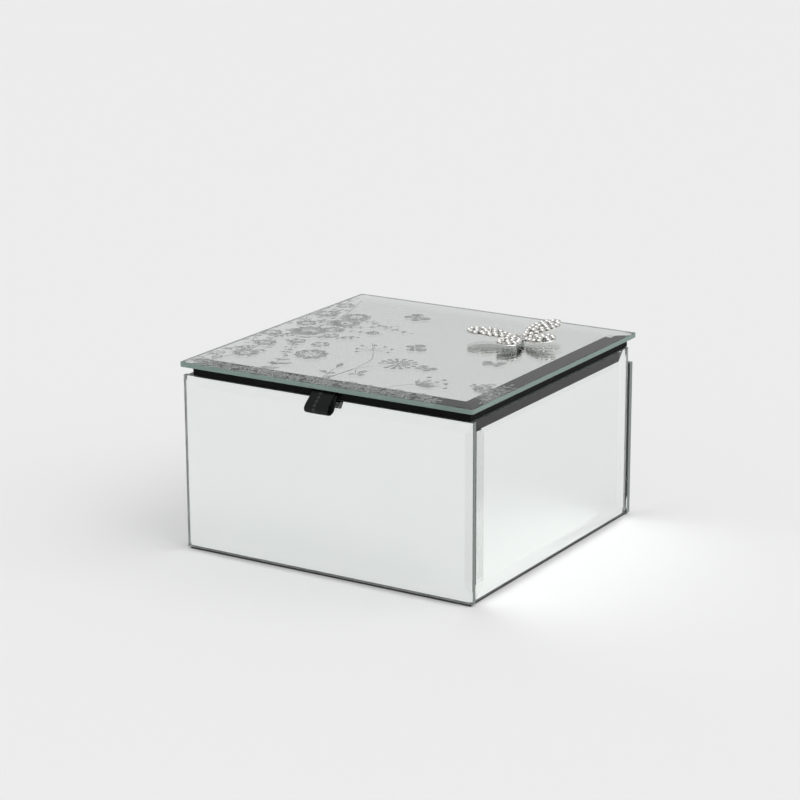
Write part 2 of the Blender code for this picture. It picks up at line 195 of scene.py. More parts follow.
def circle(radius, count, height=0.0, shift=0):
    """Points evenly spaced round the Z axis."""
    angles = [math.tau * (index + shift) / count for index in range(count)]
    return [Vector((radius * math.cos(angle), radius * math.sin(angle), height)) for angle in angles]


def lathe(bm, matrix, profile, count, closed=False):
    """Rings of (radius, height) points about the matrix's Z, capped unless the profile is closed."""
    rings = [[bm.verts.new(matrix @ spot) for spot in circle(radius, count, height)]
             for radius, height in profile]
    join_rings(bm, rings + rings[:1] if closed else rings, capped=not closed)


def direction(angle):
    """The flat unit vector at an angle from +X."""
    return Vector((math.cos(angle), math.sin(angle)))


def span(first, last, count):
    """Evenly spaced values from first to last, both included."""
    return [first + (last - first) * index / (count - 1) for index in range(count)]


def smooth_route(points, steps):
    """Points along a Catmull-Rom curve through the given ones."""
    ends = [2 * points[0] - points[1]] + list(points) + [2 * points[-1] - points[-2]]
    route = []
    for before, start, stop, after in zip(ends, ends[1:], ends[2:], ends[3:]):
        for step in range(steps):
            t = step / steps
            route.append(0.5 * (2 * start + (stop - before) * t
                                + (2 * before - 5 * start + 4 * stop - after) * t ** 2
                                + (3 * start - before - 3 * stop + after) * t ** 3))
    return route + [points[-1]]


# --- helpers for materials ---

class Look:
    """A Principled material with the nodes that feed it; patterns are laid out in the frame, in metres."""

    def __init__(self, name, **values):
        self.material = bpy.data.materials.new(name)
        self.material.use_nodes = True
        self.tree = self.material.node_tree
        self.shader = self.tree.nodes["Principled BSDF"]
        self.place = self.node("ShaderNodeTexCoord", "Object")
        for key, value in values.items():
            self.shader.inputs[key.replace("_", " ")].default_value = value

    def feed(self, socket, value):
        """Links an output to an input, or sets the input's value."""
        if isinstance(value, bpy.types.NodeSocket):
            self.tree.links.new(value, socket)
        else:
            socket.default_value = value

    def node(self, kind, output, values=None, **settings):
        """Makes a node, feeds its inputs and returns one of its outputs."""
        item = self.tree.nodes.new(kind)
        for key, value in settings.items():
            setattr(item, key, value)
        for key, value in (values or {}).items():
            self.feed(item.inputs[key], value)
        return item.outputs[output]

    def stretched(self, scale):
        """The place, scaled per axis, for streaks."""
        return self.node("ShaderNodeMapping", "Vector", {"Vector": self.place, "Scale": scale})

    def noise(self, size, detail=3, roughness=0.55, vector=None):
        """Noise whose features are about the given size, in metres."""
        values = {"Vector": self.place if vector is None else vector, "Scale": 1 / size, "Detail": detail,
                  "Roughness": roughness}
        return self.node("ShaderNodeTexNoise", "Fac", values)

    def cells(self, size, output="Color"):
        return self.node("ShaderNodeTexVoronoi", output, {"Vector": self.place, "Scale": 1 / size})

    def axis(self, name, place):
        return self.node("ShaderNodeSeparateXYZ", name, {"Vector": place})

    def channel(self, colour, name="Red"):
        return self.node("ShaderNodeSeparateColor", name, {"Color": colour})

    def maths(self, operation, first, second=0.0):
        return self.node("ShaderNodeMath", 0, {0: first, 1: second}, operation=operation)

    def waves(self, value, length):
        """A sine with the given wavelength."""
        return self.maths("SINE", self.maths("MULTIPLY", value, math.tau / length))

    def off(self, value, middle):
        """How far a value is from the middle."""
        return self.maths("ABSOLUTE", self.maths("SUBTRACT", value, middle))

    def spread(self, value, low, high, start=0.3, stop=0.7):
        """Maps a value from start..stop to low..high, held at both ends."""
        values = {"Value": value, "From Min": start, "From Max": stop, "To Min": low, "To Max": high}
        return self.node("ShaderNodeMapRange", "Result", values)

    def blend(self, share, *colours):
        """A colour between two, by share."""
        first, second = (item if isinstance(item, bpy.types.NodeSocket) else (*item, 1.0) for item in colours)
        values = {"Factor": share, "A": first, "B": second}
        return self.node("ShaderNodeMix", "Result", values, data_type="RGBA")

    def colour(self, share, first, second):
        """Blends two colours, by share, into the base colour."""
        self.feed(self.shader.inputs["Base Color"], self.blend(share, first, second))

    def roughness(self, value, *levels):
        """Spreads a value into the roughness."""
        self.feed(self.shader.inputs["Roughness"], self.spread(value, *levels))

    def bump(self, height, depth, strength):
        """Raises the surface by the height, which runs from 0 to 1, times the depth in metres."""
        values = {"Height": height, "Distance": depth, "Strength": strength}
        self.feed(self.shader.inputs["Normal"], self.node("ShaderNodeBump", "Normal", values))


# --- materials ---

def polished_glass():
    look = Look("polished glass", Transmission_Weight=1.0, IOR=1.52)
    look.colour(look.noise(30 * MM), (0.955, 0.980, 0.970), (0.970, 0.985, 0.978))
    smears = look.noise(14 * MM, 4, 0.6, look.stretched((1, 1, 0.4)))
    look.roughness(smears, 0.0, 0.02, 0.56, 0.80)
    return look.material


def ground_glass(name, deep, pale):
    """The edges of a sheet, left with the fine grain of the grinding belt."""
    look = Look(name, Transmission_Weight=0.5, IOR=1.52)
    grain = look.noise(0.25 * MM, 4, 0.7)
    look.colour(grain, deep, pale)
    look.roughness(look.noise(3 * MM), 0.30, 0.48)
    look.bump(grain, 0.02 * MM, 0.6)
    return look.material


def silvering():
    look = Look("silvering", Metallic=1.0)
    look.colour(look.noise(20 * MM), (0.925, 0.940, 0.932), (0.945, 0.955, 0.948))
    look.roughness(look.noise(9 * MM, 5, 0.65), 0.0, 0.012, 0.5, 0.8)
    return look.material


def backing_paint():
    look = Look("backing paint")
    speckle = look.noise(0.5 * MM, 5, 0.7)
    look.colour(speckle, (0.040, 0.045, 0.047), (0.085, 0.092, 0.095))
    look.roughness(look.noise(6 * MM), 0.45, 0.7)
    look.bump(speckle, 0.03 * MM, 0.5)
    return look.material


def woven_cloth():
    """Book cloth: fine plain weave, dyed black, a little rubbed in places."""
    look = Look("black book cloth", Sheen_Weight=0.03, Sheen_Roughness=0.5, Specular_IOR_Level=0.10)
    threads = []
    for axis in "XYZ":
        wobble = look.maths("MULTIPLY", look.noise(1.2 * MM), 0.9)
        turn = look.maths("MULTIPLY", look.axis(axis, look.place), math.tau / (0.62 * MM))
        threads.append(look.maths("SINE", look.maths("ADD", turn, wobble)))
    crossings = [look.maths("MULTIPLY", threads[i], threads[i - 1]) for i in range(3)]
    weave = look.maths("ADD", look.maths("ADD", crossings[0], crossings[1]), crossings[2])
    weave = look.spread(weave, 0.0, 1.0, -1.0, 1.0)
    rub = look.spread(look.noise(7 * MM, 5, 0.65), 0.0, 1.0, 0.45, 0.8)
    dyed = look.blend(weave, (0.0012, 0.0014, 0.0015), (0.0036, 0.0040, 0.0042))
    look.colour(rub, dyed, (0.0062, 0.0068, 0.0072))
    look.roughness(weave, 0.85, 0.62, 0.0, 1.0)
    look.bump(weave, 0.06 * MM, 0.7)
    return look.material


def velvet():
    look = Look("black velvet", Sheen_Weight=0.9, Sheen_Roughness=0.35, Specular_IOR_Level=0.2)
    look.shader.inputs["Sheen Tint"].default_value = (0.55, 0.57, 0.62, 1.0)
    nap = look.noise(11 * MM, 4, 0.6)
    pile = look.noise(0.16 * MM, 2, 0.6)
    brushed = look.blend(look.spread(nap, 0, 1, 0.35, 0.7), (0.0045, 0.0045, 0.0052), (0.016, 0.016, 0.018))
    look.colour(look.spread(pile, 0, 0.5), brushed, (0.002, 0.002, 0.002))
    look.roughness(nap, 0.98, 0.82)
    height = look.maths("ADD", look.maths("MULTIPLY", pile, 0.35), nap)
    look.bump(height, 0.30 * MM, 0.55)
    return look.material


def felt():
    look = Look("black felt", Sheen_Weight=0.4, Sheen_Roughness=0.6, Specular_IOR_Level=0.2)
    fibres = look.noise(0.35 * MM, 6, 0.75)
    look.colour(fibres, (0.004, 0.004, 0.0045), (0.022, 0.022, 0.023))
    look.roughness(fibres, 0.9, 1.0)
    look.bump(fibres, 0.25 * MM, 0.9)
    return look.material


def satin():
    """Ribbon satin: long floats across, fine ribs along, and a row of woven lozenges beside the middle."""
    look = Look("black satin", Sheen_Weight=0.08, Sheen_Roughness=0.3, Anisotropic=0.55,
                Specular_IOR_Level=0.18)
    cloth = look.node("ShaderNodeUVMap", "UV", uv_map="ribbon")
    across, along = look.axis("X", cloth), look.axis("Y", cloth)
    ribs, floats = look.waves(across, 0.28), look.waves(along, 0.22)
    weave = look.maths("ADD", look.maths("MULTIPLY", ribs, 0.6), look.maths("MULTIPLY", floats, 0.4))
    weave = look.spread(weave, 0.0, 1.0, -1.0, 1.0)
    cell = look.off(look.maths("FRACT", look.maths("DIVIDE", along, LOZENGE_PITCH)), 0.5)
    reach = look.maths("ADD", look.off(across, LOZENGE_ROW), look.maths("MULTIPLY", cell, LOZENGE_PITCH))
    lozenge = look.spread(look.off(reach, 0.55), 1.0, 0.0, 0.10, 0.22)
    dyed = look.blend(weave, (0.0025, 0.0030, 0.0034), (0.0085, 0.0095, 0.0100))
    look.colour(look.maths("MULTIPLY", lozenge, 0.75), dyed, (0.085, 0.090, 0.092))
    look.roughness(weave, 0.50, 0.36, 0.0, 1.0)
    look.bump(look.maths("ADD", weave, look.maths("MULTIPLY", lozenge, 0.8)), 0.05 * MM, 0.6)
    return look.material


def brass():
    look = Look("brass", Metallic=1.0)
    tarnish = look.noise(2.2 * MM, 5, 0.65)
    look.colour(look.spread(tarnish, 0, 1), (0.78, 0.57, 0.26), (0.46, 0.31, 0.12))
    brushed = look.noise(0.2 * MM, 3, 0.6, look.stretched((0.12, 1, 1)))
    look.roughness(look.maths("ADD", brushed, tarnish), 0.20, 0.42, 0.8, 1.2)
    look.bump(brushed, 0.015 * MM, 0.5)
    return look.material


def steel():
    look = Look("nickelled steel", Metallic=1.0)
    grain = look.noise(0.35 * MM, 4, 0.6)
    look.colour(grain, (0.42, 0.41, 0.39), (0.66, 0.64, 0.61))
    look.roughness(grain, 0.22, 0.38)
    look.bump(grain, 0.01 * MM, 0.4)
    return look.material


def silver_plate():
    look = Look("silver plate", Metallic=1.0)
    dulled = look.noise(1.4 * MM, 4, 0.6)
    look.colour(look.spread(dulled, 0, 1), (0.86, 0.85, 0.82), (0.50, 0.49, 0.47))
    look.roughness(dulled, 0.10, 0.30)
    look.bump(look.noise(0.5 * MM, 3), 0.02 * MM, 0.4)
    return look.material


def paste():
    """Cut lead glass."""
    look = Look("paste stone", Transmission_Weight=1.0, IOR=1.66)
    look.colour(look.noise(4 * MM), (0.985, 0.98, 0.965), (0.97, 0.98, 0.985))
    look.roughness(look.noise(1.5 * MM, 5, 0.7), 0.0, 0.03, 0.5, 0.8)
    return look.material


def foil():
    look = Look("stone foil", Metallic=1.0)
    creases = look.noise(0.6 * MM, 4, 0.6)
    look.colour(creases, (0.80, 0.79, 0.77), (0.95, 0.95, 0.94))
    look.roughness(creases, 0.03, 0.12)
    return look.material


def glitter():
    """Fine silver grains thinly spread in clear lacquer, each with its own tone; a few grains are painted
    near white as painted glints.
    """
    look = Look("glitter print", Metallic=0.15, Specular_IOR_Level=0.35)
    grains = look.cells(0.30 * MM)
    tint = look.blend(look.channel(grains), (0.23, 0.25, 0.24), (0.58, 0.60, 0.59))
    # Painted glints: a few grains get a near-white base colour that stands in for the sparkle of light off
    # the glitter
    painted_glints = look.spread(look.channel(grains, "Green"), 0.0, 1.0, 0.90, 0.93)
    look.colour(painted_glints, tint, (0.95, 0.95, 0.95))
    look.roughness(look.channel(grains, "Blue"), 0.25, 0.6, 0.0, 1.0)
    look.feed(look.shader.inputs["Alpha"], look.spread(look.channel(grains, "Blue"), 0.0, 1.0, 0.22, 0.26))
    look.bump(look.cells(0.30 * MM, "Distance"), 0.08 * MM, 0.7)
    return look.material


def flake():
    look = Look("loose glitter", Metallic=0.9)
    tone = look.channel(look.cells(0.5 * MM))
    look.colour(look.spread(tone, 0.0, 1.0, 0.45, 0.75), (0.18, 0.20, 0.19), (1.0, 1.0, 1.0))
    look.roughness(tone, 0.15, 0.35, 0.0, 1.0)
    return look.material


# --- glass ---

def rounded_ring(half_u, half_v, radius):
    """Points round a rectangle with round corners, the same number whatever the radius."""
    ring = []
    for corner in range(4):
        side_u = 1 if corner in (0, 3) else -1
        side_v = 1 if corner in (0, 1) else -1
        for step in range(CORNER_STEPS + 1):
            angle = math.pi / 2 * (corner + step / CORNER_STEPS)
            ring.append((side_u * (half_u - radius) + radius * math.cos(angle),
                         side_v * (half_v - radius) + radius * math.sin(angle)))
    return ring


def bevelled_glass(name, node, outward, edge, bevel, corner_radius, looks):
    """A sheet in the CAD node's box: silvered back, ground edges, polished bevels, arris and face."""
    low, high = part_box(node)
    outward = Vector(outward)
    up = Vector((0, 1, 0)) if abs(outward.z) > 0.5 else UP
    across = up.cross(outward)
    size = high - low
    half_u, half_v = (abs(size.dot(axis)) / 2 for axis in (across, up))
    thickness = abs(size.dot(outward))
    rise = (thickness - edge) / bevel

    def front(u, v):
        """The height of the front over a point, which rises from the rim to the end of the bevel."""
        inset = min(half_u - abs(u), half_v - abs(v))
        return edge + rise * min(max(inset, 0.0), bevel)

    bm = bmesh.new()
    rings = []
    for inset, on_front, offset in ((ARRIS, 0, 0.0), (0.0, 0, ARRIS), (0.0, 1, -ARRIS), (ARRIS, 1, 0.0),
                                    (bevel, 1, 0.0)):
        outline = rounded_ring(half_u - inset, half_v - inset, max(corner_radius - inset, 0.0))
        rings.append([bm.verts.new((u, v, offset + on_front * front(u, v))) for u, v in outline])
    for band in join_rings(bm, rings)[:2]:
        for face in band:
            face.material_index = 2
    bm.faces.new(reversed(rings[0])).material_index = 1
    bm.faces.new(rings[-1])
    bmesh.ops.remove_doubles(bm, verts=bm.verts, dist=WELD)
    middle = (low + high) / 2 - outward * thickness / 2
    turn = Matrix((across, up, outward)).transposed().to_4x4()
    bmesh.ops.transform(bm, matrix=Matrix.Translation(middle) @ turn, verts=bm.verts)
    return mesh_object(name, bm, *looks)


def make_glass():
    face, back = polished_glass(), silvering()
    looks = (face, back, ground_glass("ground edge", (0.26, 0.32, 0.295), (0.37, 0.43, 0.405)))
    lid_looks = (face, back, ground_glass("ground lid edge", (0.28, 0.42, 0.365), (0.40, 0.54, 0.485)))
    sides = {"front": (0, -1, 0), "back": (0, 1, 0), "left": (-1, 0, 0), "right": (1, 0, 0)}
    for side, outward in sides.items():
        node = f"{side}_mirror"
        panel = bevelled_glass(f"{side}_glass", node, outward, PANEL_EDGE, PANEL_BEVEL, CORNER_RADIUS, looks)
        place(panel, "case", "mirror_glass", node)
    lid = bevelled_glass("lid_glass", "lid_mirror", (0, 0, 1), LID_EDGE, LID_BEVEL, LID_CORNER_RADIUS,
                         lid_looks)
    place(lid, "lid", "mirror_glass", "lid_mirror")


def make_lid_paint():
    """Grey protective paint on the back of the lid's silvering, seen round the board when the lid is open."""
    low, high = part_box("lid_mirror")
    middle, half = (low + high) / 2, (high - low) / 2
    inset = 2 * ARRIS
    outline = rounded_ring(half.x - inset, half.y - inset, LID_CORNER_RADIUS - inset)
    bm = bmesh.new()
    rings = []
    for drop in (0, PAINT_THICKNESS):
        height = low.z - PAINT_GAP - drop
        rings.append([bm.verts.new((middle.x + u, middle.y + v, height)) for u, v in outline])
    join_rings(bm, rings, capped=True)
    place(mesh_object("lid_glass_paint", bm, backing_paint()), "lid", "mirror_glass")


# --- carried-over CAD nodes ---

def refine(node, look, width, segments=3):
    """Gives a CAD node its material and rounds its edges."""
    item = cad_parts[node]
    item.data.materials.clear()
    item.data.materials.append(look)
    weld = item.modifiers.new("weld", "WELD")
    weld.merge_threshold = WELD
    edges = item.modifiers.new("round edges", "BEVEL")
    edges.width = width
    edges.segments = segments
    edges.limit_method = "ANGLE"
    edges.angle_limit = math.radians(40)
    return item


def dress_frame():
    cloth, pile, base = woven_cloth(), velvet(), felt()
    for node in ("base_board", "front_board", "back_board", "left_board", "right_board", "lid_board"):
        refine(node, cloth, BOARD_ROUND)
    for node in ("front_lining", "back_lining", "left_lining", "right_lining"):
        refine(node, pile, LINING_ROUND)
    refine("base_felt", base, LINING_ROUND)
    metal, bright = brass(), steel()
    for side in ("left", "right"):
        for leaf in ("case_leaf", "lid_leaf"):
            refine(f"hinge_{side}_{leaf}", metal, METAL_ROUND, 2)
        refine(f"hinge_{side}_pin", bright, METAL_ROUND, 2)
        for body in ("case", "lid"):
            for number in (1, 2):
                refine(f"hinge_{side}_{body}_screw_{number}", bright, METAL_ROUND / 2, 1)
    return pile


# --- glitter print ---

def blade(at, heading, length, width, fullness=1.0, count=7):
    """A leaf or petal outline from its stalk end; fullness over 1 moves its widest place towards the tip."""
    along = direction(heading)
    across = Vector((-along.y, along.x))
    shares = span(0, 1, count)[1:-1]
    left, right = ([at + along * length * t + side * across * width / 2 * math.sin(math.pi * t ** fullness)
                    for t in shares] for side in (1, -1))
    return [at] + left + [at + along * length] + right[::-1]


def disc(at, radius, count=10):
    return [at + radius * direction(math.tau * i / count) for i in range(count)]


class Print:
    """Outlines, in millimetres from the middle of the lid, laid just inside the back of its glass."""

    def __init__(self, seed):
        self.low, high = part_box("lid_mirror")
        self.middle, self.half = (self.low + high) / 2, (high - self.low) / 2
        self.bm = bmesh.new()
        self.lift = self.bm.verts.layers.float.new("lift")
        self.count = 0
        self.random = random.Random(seed)

    def lay(self, outline):
        lift = PRINT_LAYER * (self.count % PRINT_LAYERS)
        self.count += 1
        seen = [point + PRINT_SHIFT for point in outline]
        corners = [self.bm.verts.new((point.x * MM, point.y * MM, 0)) for point in seen]
        for corner in corners:
            corner[self.lift] = lift
        self.bm.faces.new(corners)

    def stem(self, points, width=0.55):
        """A tapering stem through the points; returns its smooth route."""
        route = smooth_route([Vector(point) for point in points], 6)
        left, right = [], []
        for index, point in enumerate(route):
            ahead = (route[min(index + 1, len(route) - 1)] - route[max(index - 1, 0)]).normalized()
            half = width / 2 * (1 - 0.5 * index / len(route))
            side = Vector((-ahead.y, ahead.x)) * half
            left.append(point + side)
            right.append(point - side)
        for index in range(len(route) - 1):
            self.lay([left[index], left[index + 1], right[index + 1], right[index]])
        return route

    def flower(self, x, y, radius, petals=5, turn=0.0):
        """Separate round-ended petals about an eye; large ones have a cleft in every petal."""
        at = Vector((x, y))
        width = 2.1 * radius * math.sin(math.pi / petals)
        for index in range(petals):
            heading = math.radians(turn) + math.tau * index / petals
            aim = direction(heading)
            reach = radius * self.random.uniform(0.74, 0.90)
            if radius > 4.0:
                for side in (-1, 1):
                    shift = side * 0.17 * width * Vector((-aim.y, aim.x))
                    root = at + 0.24 * radius * aim + 0.5 * shift
                    self.lay(blade(root, heading + side * 0.20, reach * 0.92, width * 0.44, 1.6, 9))
            else:
                self.lay(blade(at + 0.22 * radius * aim, heading, reach, width * 0.74, 1.7, 9))
        self.lay(disc(at, 0.13 * radius, 8))

    def leaf(self, x, y, heading, length):
        """A leaf split by its midrib."""
        angle = math.radians(heading)
        at = Vector((x, y))
        for side in (-1, 1):
            shift = side * 0.055 * length * Vector((-math.sin(angle), math.cos(angle)))
            self.lay(blade(at + shift, angle + side * 0.10, length, 0.26 * length, 0.85))

    def spray(self, points, size, step=2, buds=True, width=0.55):
        """A stem with leaves in pairs and, where asked, a bud on every third pair."""
        route = self.stem(points, width)
        for index in range(step, len(route) - 1, step):
            ahead = route[index + 1] - route[index - 1]
            heading = math.degrees(math.atan2(ahead.y, ahead.x))
            for side in (-1, 1):
                length = size * self.random.uniform(0.7, 1.15)
                turn = heading + side * self.random.uniform(35, 65)
                if buds and (index // step) % 3 == 0:
                    tip = route[index] + direction(math.radians(turn)) * length * 0.8
                    self.lay(disc(tip, 0.24 * size, 8))
                else:
                    self.leaf(route[index].x, route[index].y, turn, length)
        self.lay(disc(route[-1], 0.25 * size, 8))

    def umbel(self, x, y, heading, radius, rays=7, fan=230):
        """Thin rays from one point, each ending in a knot of round florets."""
        at = Vector((x, y))
        for index in range(rays):
            angle = math.radians(heading - fan / 2 + fan * index / (rays - 1))
            aim = direction(angle)
            reach = radius * self.random.uniform(0.75, 1.0)
            self.stem([at, at + aim * reach * 0.5 + Vector((0.3, -0.2)), at + aim * reach], 0.3)
            for offset in ((0, 0), (0.9, 0.3), (-0.5, 0.8), (0.1, -0.9)):
                self.lay(disc(at + aim * reach + 0.75 * Vector(offset), self.random.uniform(0.42, 0.62), 7))

    def seed_head(self, x, y, heading, radius):
        """A round flower drawn in rows of dots between two rings of scales."""
        at = Vector((x, y))
        for index in range(13):
            angle = math.radians(heading - 150 + 25 * index)
            aim = direction(angle)
            self.lay(blade(at + 0.62 * radius * aim, angle, 0.42 * radius, 0.27 * radius, 1.4))
            for ring, size in ((0.55, 0.10), (0.40, 0.085), (0.25, 0.07)):
                self.lay(disc(at + ring * radius * aim, size * radius, 7))
        self.lay(disc(at, 0.12 * radius))

    def moth(self, x, y, heading, size):
        """A small butterfly: four split wings, a body and two feelers."""
        at = Vector((x, y))
        for side in (-1, 1):
            for turn, length, width in ((52, 0.56, 0.42), (118, 0.42, 0.34)):
                angle = math.radians(heading + side * turn)
                self.lay(blade(at, angle, length * size, width * size, 1.8, 9))
            angle = math.radians(heading + side * 16)
            aim = direction(angle)
            self.stem([at + 0.1 * size * aim, at + 0.25 * size * aim, at + 0.42 * size * aim], 0.22)
        angle = math.radians(heading)
        self.lay(blade(at - 0.22 * size * direction(angle), angle, 0.46 * size, 0.1 * size))

    def lily(self, x, y, heading, size):
        """Long open petals with stamens standing past them."""
        at = Vector((x, y))
        for turn in (-62, -30, 0, 28, 60):
            self.lay(blade(at, math.radians(heading + turn), 0.62 * size, 0.12 * size, 0.9))
        for turn, reach in ((-46, 0.95), (-14, 0.9), (10, 1.0), (44, 0.92)):
            end = at + reach * size * direction(math.radians(heading + turn))
            self.stem([at, (at + end) / 2 + Vector((0.3, 0.2)), end], 0.25)
            self.lay(disc(end, 0.085 * size, 8))

    def thicket(self, x, y, reach_x, reach_y, count, size):
        """Leaves and small flowers scattered over an ellipse."""
        for index in range(count):
            angle, reach = self.random.uniform(0, math.tau), math.sqrt(self.random.random())
            at = Vector((x + reach_x * reach * math.cos(angle), y + reach_y * reach * math.sin(angle)))
            if index % 4 == 0:
                self.flower(at.x, at.y, size * self.random.uniform(0.6, 0.8), 5, self.random.uniform(0, 72))
            else:
                self.leaf(at.x, at.y, self.random.uniform(0, 360), size * self.random.uniform(0.7, 1.2))

    def drape(self):
        """Trims the outlines at the edge of the glass, sets them over its back and gives them thickness."""
        bm = self.bm
        bmesh.ops.triangulate(bm, faces=bm.faces[:])
        for axis, half in ((Vector((1, 0, 0)), self.half.x), (Vector((0, 1, 0)), self.half.y)):
            for outward in (-axis, axis):
                geometry = bm.verts[:] + bm.edges[:] + bm.faces[:]
                bmesh.ops.bisect_plane(bm, geom=geometry, dist=1e-8, plane_co=outward * (half - 2 * ARRIS),
                                       plane_no=outward, clear_outer=True)
        for corner in bm.verts:
            corner.co.z = self.low.z + PRINT_GAP + corner[self.lift]
        raised = bmesh.ops.extrude_face_region(bm, geom=bm.faces[:])["geom"]
        upper = [item for item in raised if isinstance(item, bmesh.types.BMVert)]
        bmesh.ops.translate(bm, verts=upper, vec=(0, 0, PRINT_THICKNESS))
        bmesh.ops.translate(bm, verts=bm.verts, vec=(self.middle.x, self.middle.y, 0))


def draw_garden(art):
    """The left side: a tall bank of flowers that thins out towards the middle."""
    art.stem([(-57, -66), (-52, -40), (-54, -15), (-48, 8), (-50, 28), (-57, 52)], 0.7)
    for flower in (
        (-57.5, 26, 5.4, 5, 10), (-43.5, 27, 6.2, 5, 30), (-42, 16.5, 6.6, 6, 0), (-48, -2, 7.6, 6, 15),
        (-40.5, 4.5, 5.0, 5, 40), (-32, -17.5, 3.9, 5, 0), (-27, -32, 7.2, 5, 18), (-50.5, -43, 5.4, 5, 50),
        (-60, -11, 4.8, 5, 20), (-58.5, 41.5, 4.2, 5, 0), (-53, -26, 4.6, 5, 35), (-43, -18, 3.8, 5, 60),
        (-56, 8, 4.4, 5, 5), (-24, 8.5, 2.9, 5, 30), (-36, -4, 3.6, 5, 12),
    ):
        art.flower(*flower)
    for points, size in (
        ([(-46, 22), (-36, 24), (-24, 18.5), (-10, 15.5)], 2.7), ([(-42, 10), (-34, 13), (-21, 23)], 2.4),
        ([(-43, 5), (-34, 6), (-20, 8.5)], 2.6), ([(-42, -9), (-34, -6), (-25, -1)], 3.2),
        ([(-46, -14), (-40, -26), (-36, -37)], 3.0), ([(-52, -20), (-48, -31), (-46, -47)], 2.8),
        ([(-57, -33), (-60, -45), (-62, -62)], 3.0), ([(-53, 30), (-60, 36), (-61, 56)], 2.8),
        ([(-52, -30), (-60, -24), (-64, -8)], 2.8), ([(-56, 12), (-62, 18), (-63, 34)], 2.6),
    ):
        art.spray(points, size)
    for thicket in ((-50, -9, 9, 12, 26, 3.2), (-56, 22, 7, 14, 16, 3.0), (-46, 14, 7, 9, 12, 3.0),
                    (-58, -44, 6, 16, 18, 3.0)):
        art.thicket(*thicket)
    art.spray([(-28, -64), (-31, -52), (-34, -39)], 4.2, 3, buds=False)
    art.leaf(-30, -50, 30, 6.0)
    art.leaf(-30, -52, 150, 6.0)


def draw_meadow(art):
    """The middle and right: single stems, seed heads and butterflies."""
    art.stem([(-3, -66), (-1, -44), (-2, -28), (-9, -15), (-15.5, -5.5)], 0.5)
    art.umbel(-9.5, -14.5, 115, 8.5)
    art.stem([(-3, -62), (0, -41), (5, -33)], 0.45)
    art.seed_head(10, -27, 50, 7.8)
    art.stem([(-3.5, -62), (-6.2, -50), (-8, -40)], 0.45)
    art.lay(blade(Vector((-7.3, -44)), math.radians(104), 7.5, 2.6, 1.3))
    for leaf in ((-6.6, -52, 150, 5.0), (-6.2, -53, 55, 4.6), (-4.5, -57, 40, 4.2), (4.0, -46.5, 78, 5.5),
                 (3.6, -47, -15, 5.0), (1.8, -50, 60, 3.5)):
        art.leaf(*leaf)
    art.stem([(0.2, -42), (3.4, -47), (7.0, -49.5)], 0.4)
    art.stem([(22, -62), (26, -54), (30.5, -49)], 0.5)
    art.lily(31.5, -49, 52, 12.5)
    art.lily(36, -50, 100, 9.0)
    for moth in ((-22, 38.5, 60, 12.5), (3, -3.5, 35, 11.5), (22.5, -28, 75, 9.5), (41.5, -9, 100, 10.0)):
        art.moth(*moth)


def draw_border(art):
    """A low hedge over the front bevel, one clump over the right bevel and a lighter fringe over the left."""
    for index, x in enumerate(span(-62, 47, 30)):
        y = -61.8 + art.random.uniform(-1.6, 1.2)
        if index % 3 == 1:
            art.flower(x, y, art.random.uniform(2.2, 3.2), 5, art.random.uniform(0, 72))
        for turn in (20, 75, 140, 200, 320):
            art.leaf(x, y, turn + art.random.uniform(-20, 20), art.random.uniform(2.6, 4.2))
    for y in span(-58, 50, 15):
        art.leaf(-63 + art.random.uniform(-1, 1), y, art.random.uniform(40, 140), 4.0)
    art.spray([(64, -50), (57, -44), (50, -37.5)], 3.2)
    art.spray([(64, -58), (61, -44), (62, -30)], 3.2)
    art.thicket(59, -43, 6, 9, 16, 3.0)
    art.flower(56, -41, 3.8, 5, 10)


def scatter_flakes(art, look):
    """Loose flakes of glitter, tilted at random, over the printed shapes and thickly over the hedge."""
    dice = art.random
    upper = [face for face in art.bm.faces if face.normal.z > 0.5]
    spots = [dice.choice(upper).calc_center_median().xy - art.middle.xy for _ in range(FLAKES_ON_PRINT)]
    for _ in range(FLAKES_ON_HEDGE):
        along, over = dice.uniform(*HEDGE_ENDS), HEDGE_DEPTH * dice.random() ** 0.8
        spots.append(Vector((along, over + HEDGE_FRONT)) + PRINT_SHIFT * MM)
    for _ in range(FLAKES_ON_HEDGE // 4):
        along, over = dice.uniform(*CLUMP_ENDS), dice.gauss(CLUMP_MIDDLE, CLUMP_SPREAD)
        spots.append(Vector((along, over)) + PRINT_SHIFT * MM)
    bm = bmesh.new()
    for spot in spots:
        if abs(spot.x) > art.half.x - 2 * ARRIS or abs(spot.y) > art.half.y - 2 * ARRIS:
            continue
        size = dice.uniform(*FLAKE_SIZE)
        tilt = Matrix.Rotation(math.radians(dice.uniform(0, FLAKE_TILT)), 4, "X")
        turn = Matrix.Rotation(dice.uniform(0, math.tau), 4, "Z")
        rest = art.low.z + PRINT_GAP + PRINT_LAYER * PRINT_LAYERS + PRINT_THICKNESS + 0.5 * size
        matrix = Matrix.Translation((spot.x + art.middle.x, spot.y + art.middle.y, rest)) @ turn @ tilt
        lathe(bm, matrix, [(size, -FLAKE_THICKNESS / 2), (size, FLAKE_THICKNESS / 2)], 6)
    place(mesh_object("glitter_flakes", bm, look), "lid", "mirror_glass")


def make_print():
    art = Print(seed=11)
    draw_garden(art)
    draw_meadow(art)
    draw_border(art)
    art.drape()
    art.bm.normal_update()
    bmesh.ops.recalc_face_normals(art.bm, faces=art.bm.faces)
    scatter_flakes(art, flake())
    place(mesh_object("glitter_print", art.bm, glitter()), "lid", "mirror_glass")


# --- butterfly ---

